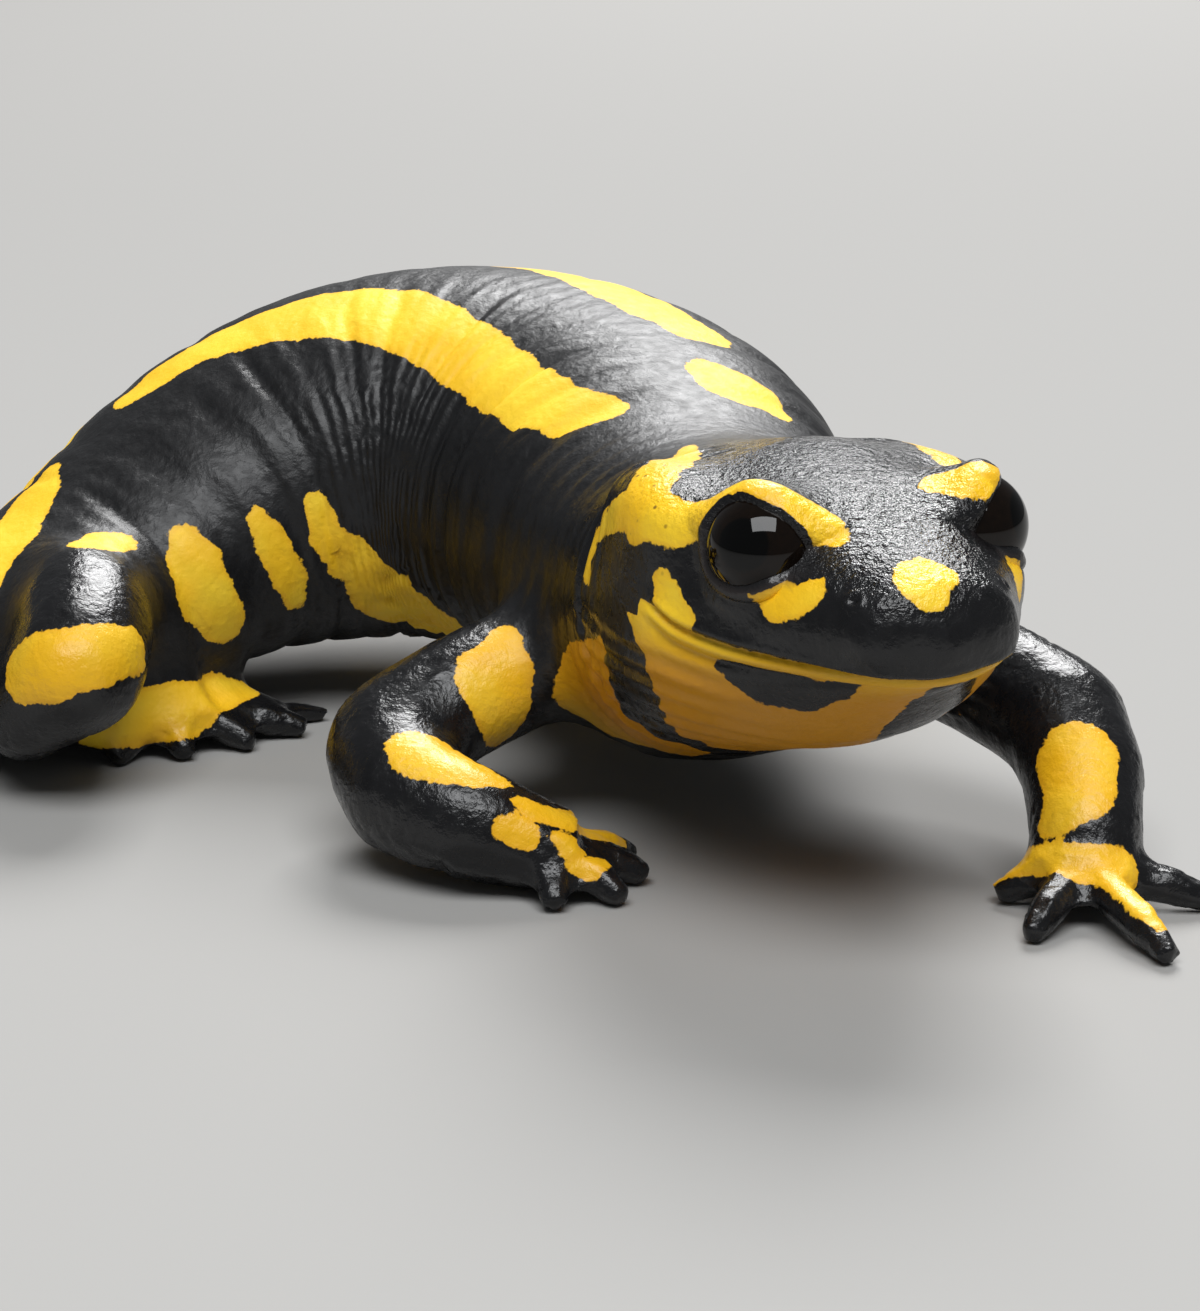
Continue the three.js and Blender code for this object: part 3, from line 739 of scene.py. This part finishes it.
# %% The yellow of the limbs
# Each blob is x, y and z from the floor under the eyes, along the model's own axes, and its radius.
limb_yellow = [
    # The right arm and hand.
    [(-17.0, 12.7, 10.3, 0.8), (-17.4, 11.2, 8.8, 1.8), (-17.1, 11.0, 7.1, 1.4), (-17.0, 11.2, 5.6, 0.8)],
    [(-18.7, 11.4, 9.6, 0.6), (-17.6, 11.3, 8.8, 1.2)],
    [(-21.0, 5.9, 6.8, 1.5), (-19.7, 5.5, 6.5, 1.6), (-18.3, 4.9, 6.1, 1.15), (-17.1, 4.9, 5.5, 0.45)],
    [(-16.9, 2.8, 4.0, 0.45), (-16.3, 2.8, 3.8, 0.6), (-15.6, 2.8, 3.4, 0.5)],
    [(-16.2, 3.9, 4.9, 0.25), (-15.4, 3.9, 4.5, 0.4), (-14.7, 4.1, 4.1, 0.45), (-13.9, 4.4, 3.7, 0.5),
     (-13.2, 6.2, 2.6, 0.75), (-12.4, 6.4, 2.3, 0.75), (-11.6, 6.9, 1.8, 0.7), (-11.2, 7.2, 1.5, 0.4)],
    [(-14.3, 3.1, 3.3, 0.3), (-13.7, 3.1, 2.9, 0.3), (-13.1, 3.3, 2.5, 0.25)],
    [(-13.4, 2.7, 2.0, 0.35), (-12.7, 2.8, 2.0, 0.5), (-12.1, 3.2, 2.0, 0.4)],
    # The left arm and hand.
    [(10.6, 4.8, 6.8, 2.1), (10.6, 3.6, 5.8, 1.75), (9.6, 2.9, 4.7, 1.0), (9.0, 2.9, 3.8, 0.45)],
    [(6.7, 3.4, 1.4, 0.7), (8.1, 3.0, 2.1, 0.65), (9.2, 1.8, 2.7, 0.7), (10.5, 1.0, 2.7, 0.9),
     (12.1, 0.8, 2.5, 1.1), (12.6, -1.0, 2.5, 0.9), (13.1, -2.4, 2.1, 0.8), (13.5, -3.5, 1.7, 0.6)],
    # The right hind limb.
    [(-41.5, 15.0, 8.0, 1.7), (-40.3, 14.4, 8.5, 1.8), (-38.1, 14.7, 8.9, 1.5), (-36.1, 16.9, 8.5, 1.3)],
    [(-39.6, 22.5, 1.9, 0.7), (-37.1, 24.0, 2.6, 1.4), (-35.1, 25.0, 2.6, 1.45), (-33.4, 27.6, 2.7, 1.0),
     (-31.8, 29.4, 2.4, 0.6)],
    [(-39.7, 23.4, 12.4, 0.7), (-38.7, 25.0, 12.3, 1.2), (-37.9, 25.7, 12.1, 0.8)],
    # The left hind limb.
    [(-44.0, 46.0, 10.4, 2.0), (-46.0, 49.0, 9.6, 1.8)],
    [(-49.0, 56.8, 4.2, 1.7), (-47.6, 59.4, 3.2, 1.2)],
]
DEEPEST = 6

yellow = np.maximum(yellow, most(co, limb_yellow, limb_chain))
yellow = np.clip(yellow, -DEEPEST, DEEPEST)
print("yellow share of the whole skin:", round(float((yellow > 0).mean()), 2))

# %% [markdown]
# ## Numbers for the material
# A material can't know where the throat or the crown is, unless it is told. So a few numbers are stored on
# every point of the skin beside the distance to the markings: where the glands with their pores are, where
# the flank wrinkles, where yellow turns orange (on the throat partly painted shade, darker lower down), and
# how dull or crumpled the skin is. A painted image could tell it too, but the net would first have to be
# unfolded flat.

# %% Store them on the skin
def store(mesh, name, values):
    attribute = mesh.attributes.new(name, "FLOAT", "POINT")
    attribute.data.foreach_set("value", values.astype(np.float32))


store(wrapped, "yellow_mm", yellow)
from_glands = np.linalg.norm(np.c_[place.ahead + 8, np.abs(place.left) - 7, place.up], axis=1)
store(wrapped, "glands", 1 - ramp(from_glands, 3.5, 6.5))
flank = ramp(place.back, 24, 40) * (1 - ramp(place.back, 80, 90)) * place.trunk
store(wrapped, "flank", flank * (0.3 + 0.7 * ramp(-np.cos(np.radians(place.round)), -0.2, 0.5)))
store(wrapped, "back_mm", place.back + 0.6 * waver(co, 5.0, 1) + 0.25 * waver(co, 1.6, 3))
# Painted shade, partly the throat's own colour: the yellow turns a darker orange lower down on the throat.
# The limbs get a fixed touch of orange.
throat_orange_and_shade = ramp(-place.up, 3.0, 6.8) * (1 - ramp(place.back, 22, 30))
store(wrapped, "orange_and_shade", np.where(place.trunk > 0.5, throat_orange_and_shade, 0.35))
# A lighter grey along the rim of each lower lid: partly the rim's own colour, partly painted sheen.
lower_lid = np.zeros(len(co))
for centre, side in EYES:
    eye = RoundEye(co, centre, side)
    on_lid = dent(eye.arc - 0.12, 0.13) * (1 - eye.upper) * (eye.far < EYE_RADIUS + 0.8)
    lower_lid = np.maximum(lower_lid, on_lid)
store(wrapped, "lower_lid", lower_lid)
crown = ramp(place.up + 0.15 * place.ahead, -0.9, 0.9) * (1 - 0.75 * ramp(place.back, 16, 26)) * place.trunk
store(wrapped, "crumpled", 0.12 * place.trunk + 0.88 * crown + 0.35 * (1 - place.trunk))
store(wrapped, "dull", ramp(place.back, 21, 30) * place.trunk)
print("the skin carries", [found.name for found in wrapped.attributes if found.data_type == "FLOAT"])

# %% [markdown]
# ## Damp black and yellow skin
# Salamander skin is thin, moist and slightly leathery, so it shines in small broken sparks, never as one
# clean reflection, and the trunk is duller than the head. The colour switches at the border of the
# markings, with noise for the ragged edge. The yellow deepens to orange on the throat and limbs; on the
# throat this is partly painted shade, darker lower down. The yellow carries fine dark pores over the
# glands behind the eyes, and a lighter grey along the lower lids is partly the lids' own colour and partly
# painted sheen. Three layers of bump break up the shine: a pebbly grain everywhere, fine waves across the
# flank, and a crumpled net, strongest on the crown.

# %% Short ways to make nodes
# In every material below, t is its tree of nodes.
def new_material(name):
    material = bpy.data.materials.new(name)
    material.use_nodes = True
    tree = material.node_tree
    tree.nodes.clear()
    return material, tree


def node(tree, kind, inputs=None, **settings):
    made = tree.nodes.new(kind)
    for key, value in settings.items():
        setattr(made, key, value)
    for key, value in (inputs or {}).items():
        if isinstance(value, bpy.types.NodeSocket):
            tree.links.new(value, made.inputs[key])
        else:
            made.inputs[key].default_value = value
    return made


def math_node(tree, operation, *values):
    made = node(tree, "ShaderNodeMath", dict(enumerate(values)), operation=operation)
    return made.outputs[0]


def noise_at(tree, where, size_mm, detail=2.0, roughness=0.5):
    made = node(tree, "ShaderNodeTexNoise",
                {"Vector": where, "Scale": 1 / (size_mm * MM), "Detail": detail, "Roughness": roughness})
    return made.outputs["Fac"]


def step_up(tree, value, low, high):
    made = node(tree, "ShaderNodeMapRange", {"Value": value, "From Min": low, "From Max": high},
                interpolation_type="SMOOTHSTEP")
    return made.outputs["Result"]


def mix_colour(tree, factor, one, other):
    made = tree.nodes.new("ShaderNodeMix")
    made.data_type = "RGBA"
    for socket, value in ((made.inputs[0], factor), (made.inputs[6], one), (made.inputs[7], other)):
        if isinstance(value, bpy.types.NodeSocket):
            tree.links.new(value, socket)
        else:
            socket.default_value = value
    return made.outputs[2]


def attribute(tree, name):
    return node(tree, "ShaderNodeAttribute", attribute_name=name).outputs["Fac"]


skin_material, t = new_material("damp_skin")
where = node(t, "ShaderNodeTexCoord").outputs["Object"]
print("made the material", skin_material.name)

# %% Where the skin is yellow
ragged = math_node(t, "MULTIPLY_ADD", noise_at(t, where, 1.3, 3), 0.7, -0.25)
frayed = math_node(t, "MULTIPLY_ADD", noise_at(t, where, 0.28, 2), 0.36, -0.18)
border = math_node(t, "ADD", math_node(t, "ADD", attribute(t, "yellow_mm"), ragged), frayed)
is_yellow = step_up(t, border, -0.05, 0.05)
print("nodes so far:", len(t.nodes))

# %% The colours of the skin
EGG_YELLOW, LEMON_YELLOW = (0.90, 0.52, 0.012, 1), (0.93, 0.62, 0.03, 1)
# The throat's orange is partly painted shade under the jaw.
RIM_ORANGE, THROAT_ORANGE_AND_SHADE = (0.75, 0.35, 0.01, 1), (0.60, 0.26, 0.005, 1)
# The lid's grey is partly painted sheen along the rims of the lower lids.
PORE_BROWN, LID_GREY_AND_SHEEN = (0.10, 0.04, 0.01, 1), (0.04, 0.032, 0.03, 1)
DEEP_BLACK, SOFT_BLACK = (0.003, 0.003, 0.0035, 1), (0.011, 0.011, 0.012, 1)
PORE_APART = 0.8

tone = step_up(t, noise_at(t, where, 4.0, 2), 0.35, 0.7)
yellow_colour = mix_colour(t, tone, EGG_YELLOW, LEMON_YELLOW)
rim = math_node(t, "MULTIPLY", step_up(t, border, 0.35, 0.0), 0.35)
yellow_colour = mix_colour(t, rim, yellow_colour, RIM_ORANGE)
pores = node(t, "ShaderNodeTexVoronoi", {"Vector": where, "Scale": 1 / (PORE_APART * MM), "Randomness": 1.0})
pore = math_node(t, "MULTIPLY", step_up(t, pores.outputs["Distance"], 0.2, 0.08), attribute(t, "glands"))
yellow_colour = mix_colour(t, math_node(t, "MULTIPLY", pore, 0.8), yellow_colour, PORE_BROWN)
# Painted shade: the throat's yellow darkens to orange lower down.
yellow_colour = mix_colour(t, attribute(t, "orange_and_shade"), yellow_colour, THROAT_ORANGE_AND_SHADE)
dark_colour = mix_colour(t, noise_at(t, where, 1.5, 4), DEEP_BLACK, SOFT_BLACK)
colour = mix_colour(t, is_yellow, dark_colour, yellow_colour)
# Partly painted sheen: a lighter grey along the rims of the lower lids.
colour = mix_colour(t, math_node(t, "MULTIPLY", attribute(t, "lower_lid"), 0.5), colour, LID_GREY_AND_SHEEN)
print("nodes so far:", len(t.nodes))

# %% Three layers of bump
GRAIN_APART, GRAIN_HEIGHT = 0.36, 0.12
WAVE_APART, WAVE_HEIGHT = 1.5, 0.08
CRUMPLE_SIZE, CRUMPLE_HEIGHT = 0.42, 0.17

grain = node(t, "ShaderNodeTexVoronoi", {"Vector": where, "Scale": 1 / (GRAIN_APART * MM), "Randomness": 1.0},
             feature="SMOOTH_F1")
pebbles = math_node(t, "MULTIPLY", grain.outputs["Distance"], 0.35)
relief = math_node(t, "ADD", pebbles, noise_at(t, where, 0.5, 3, 0.6))
fine_bump = node(t, "ShaderNodeBump", {"Height": relief, "Strength": 0.4, "Distance": GRAIN_HEIGHT * MM})
wave = math_node(t, "SINE", math_node(t, "MULTIPLY", attribute(t, "back_mm"), 2 * math.pi / WAVE_APART))
wave = math_node(t, "MULTIPLY", wave, step_up(t, noise_at(t, where, 1.8, 2), 0.3, 0.6))
wave = math_node(t, "MULTIPLY", wave, attribute(t, "flank"))
wave_bump = node(t, "ShaderNodeBump", {"Height": wave, "Strength": 0.4, "Distance": WAVE_HEIGHT * MM,
                                       "Normal": fine_bump.outputs[0]})
crumple = math_node(t, "MULTIPLY", noise_at(t, where, CRUMPLE_SIZE, 3, 0.65), attribute(t, "crumpled"))
crumple_bump = node(t, "ShaderNodeBump", {"Height": crumple, "Strength": 1.0, "Distance": CRUMPLE_HEIGHT * MM,
                                          "Normal": wave_bump.outputs[0]})
print("nodes so far:", len(t.nodes))

# %% How rough and how glossy the skin is
shine = math_node(t, "MULTIPLY_ADD", noise_at(t, where, 0.7, 3), 0.3, 0.14)
shine = math_node(t, "MULTIPLY_ADD", is_yellow, 0.12, shine)
shine = math_node(t, "MULTIPLY_ADD", attribute(t, "crumpled"), -0.10, shine)
shine = math_node(t, "MULTIPLY_ADD", attribute(t, "dull"), 0.16, shine)
surface = node(t, "ShaderNodeBsdfPrincipled", {"Base Color": colour, "Roughness": shine,
                                               "Normal": crumple_bump.outputs[0]})
surface.inputs["Specular IOR Level"].default_value = 0.42
node(t, "ShaderNodeOutputMaterial", {"Surface": surface.outputs[0]})
wrapped.materials.append(skin_material)
print("the skin's material has", len(t.nodes), "nodes")

# %% Finish the skin
LOWEST = 0.02

finished = points_of(wrapped)
finished[:, 2] = np.maximum(finished[:, 2], LOWEST)
set_points(wrapped, finished * MM)
wrapped.polygons.foreach_set("use_smooth", [True] * len(wrapped.polygons))
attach(skin, "root")
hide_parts(*flesh)
print("skin from", finished.min(0).round(2), "to", finished.max(0).round(2))

# %% [markdown]
# ## Eyes
# The eyes are glossy black beads, with a very dark brown iris round a black pupil that shows only where
# light falls across it. Each is a true ball at the place and size of its solid, with faces small
# enough for a clean reflection. The iris is worked out from the angle between a point and the line of
# gaze, kept as an attribute, so that it stays in place when the camera moves. A disc laid on the ball
# would show its edge.

# %% The eyes' material
PUPIL_BLACK = (0.0006, 0.0006, 0.0006, 1)
IRIS_DARK, IRIS_BROWN = (0.002, 0.0012, 0.0008, 1), (0.007, 0.0035, 0.0018, 1)
PUPIL_ENDS, IRIS_STARTS = 26, 30

eye_material, t = new_material("wet_eye")
where = node(t, "ShaderNodeTexCoord").outputs["Object"]
past_pupil = step_up(t, attribute(t, "from_gaze"), PUPIL_ENDS, IRIS_STARTS)
iris = mix_colour(t, noise_at(t, where, 0.35, 3), IRIS_DARK, IRIS_BROWN)
iris = mix_colour(t, past_pupil, PUPIL_BLACK, iris)
ball = node(t, "ShaderNodeBsdfPrincipled", {"Base Color": iris, "Roughness": 0.035})
ball.inputs["Specular IOR Level"].default_value = 0.3
node(t, "ShaderNodeOutputMaterial", {"Surface": ball.outputs[0]})
print("the eyes' material has", len(t.nodes), "nodes")

# %% Make the eyes
for name, (centre, side) in zip(("eye_left", "eye_right"), EYES):
    work = bmesh.new()
    bmesh.ops.create_icosphere(work, subdivisions=5, radius=EYE_RADIUS * MM,
                               matrix=Matrix.Translation(Vector(centre * MM)))
    mesh = bpy.data.meshes.new(name + "_ball")
    work.to_mesh(mesh)
    work.free()
    mesh.polygons.foreach_set("use_smooth", [True] * len(mesh.polygons))
    mesh.materials.append(eye_material)
    way = points_of(mesh) / MM - centre
    angle = np.arccos(np.clip(way @ gaze_of(side) / EYE_RADIUS, -1, 1))
    store(mesh, "from_gaze", np.degrees(angle))
    eye = bpy.data.objects.new(name + "_ball", mesh)
    bpy.context.scene.collection.objects.link(eye)
    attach(eye, "root")
    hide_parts(name)
    print(name, "has", len(mesh.polygons), "faces")

# %% [markdown]
# ## A floor and two lamps
# The model stands on a plain pale floor in a dim studio. A broad soft lamp could do alone, but black skin
# shows its shape only by what it reflects. So there are two: a key above and in front, which lights the
# face and makes the glint in the eye, and a rim lamp behind, which draws the sheen along the crown and
# back. A dim grey surrounding keeps the shaded side readable.

# %% Lay the floor
# Half the floor's width, in metres.
FLOOR = 3.0
PALE_GREY = (0.33, 0.324, 0.314, 1)

work = bmesh.new()
bmesh.ops.create_grid(work, x_segments=1, y_segments=1, size=FLOOR)
floor_mesh = bpy.data.meshes.new("floor")
work.to_mesh(floor_mesh)
work.free()
floor = bpy.data.objects.new("floor", floor_mesh)
bpy.context.scene.collection.objects.link(floor)
floor_material, t = new_material("pale_floor")
matt = node(t, "ShaderNodeBsdfPrincipled", {"Base Color": PALE_GREY, "Roughness": 0.9})
node(t, "ShaderNodeOutputMaterial", {"Surface": matt.outputs[0]})
floor_mesh.materials.append(floor_material)
print("the floor is", 2 * FLOOR, "m across")

# %% Light it
aim = Vector(BETWEEN_EYES * MM)


def lamp(name, way, distance_mm, size_mm, watts, colour=(1, 1, 1)):
    """A rectangular soft lamp that shines on the face from the direction `way`."""
    light = bpy.data.lights.new(name, "AREA")
    light.shape = "RECTANGLE"
    light.size, light.size_y = size_mm[0] * MM, size_mm[1] * MM
    light.energy = watts
    light.color = colour
    made = bpy.data.objects.new(name, light)
    made.location = aim + Vector(way).normalized() * distance_mm * MM
    made.rotation_euler = (aim - made.location).to_track_quat("-Z", "Y").to_euler()
    bpy.context.scene.collection.objects.link(made)
    print(name, "lamp", distance_mm, "mm from the face")


lamp("key", (0.0, -0.46, 0.886), 480, (400, 270), 2.7, (0.97, 0.985, 1.0))
lamp("rim", (0.12, 0.70, 0.70), 1000, (480, 560), 12.5)

# %% Dim surroundings
SURROUNDINGS = 0.17

world = bpy.data.worlds.new("studio")
world.use_nodes = True
background = world.node_tree.nodes["Background"]
background.inputs["Color"].default_value = (0.75, 0.78, 0.8, 1)
background.inputs["Strength"].default_value = SURROUNDINGS
bpy.context.scene.world = world
bpy.context.scene.view_settings.view_transform = "Standard"
print("the surroundings shine with a strength of", SURROUNDINGS)

# %% [markdown]
# ## The camera
# The camera looks a little down at the animal's face, as someone crouching in front of it would. A long
# lens from 145 mm away keeps the head in proportion with the trunk behind it. Its place is counted from
# the eyes, because a viewer looks at those first.

# %% Set up the camera
DISTANCE = 145
LOOKING_DOWN = math.radians(16.8)
LENS = 87.6
EYES_RIGHT_OF_MIDDLE, EYES_ABOVE_MIDDLE = 12.23, 5.43
look = np.array([0, math.cos(LOOKING_DOWN), -math.sin(LOOKING_DOWN)])
view_up = np.array([0, math.sin(LOOKING_DOWN), math.cos(LOOKING_DOWN)])
stand = BETWEEN_EYES - look * DISTANCE - np.array([EYES_RIGHT_OF_MIDDLE, 0, 0])
stand = stand - view_up * EYES_ABOVE_MIDDLE
camera_data = bpy.data.cameras.new("camera")
camera_data.lens = LENS
camera_data.sensor_width = 36
camera_data.clip_start, camera_data.clip_end = 0.01, 10
camera = bpy.data.objects.new("camera", camera_data)
camera.location = Vector(stand * MM)
camera.rotation_euler = (math.pi / 2 - LOOKING_DOWN, 0, 0)
bpy.context.scene.collection.objects.link(camera)
bpy.context.scene.camera = camera
print("the camera stands at", stand.round(1), "mm")
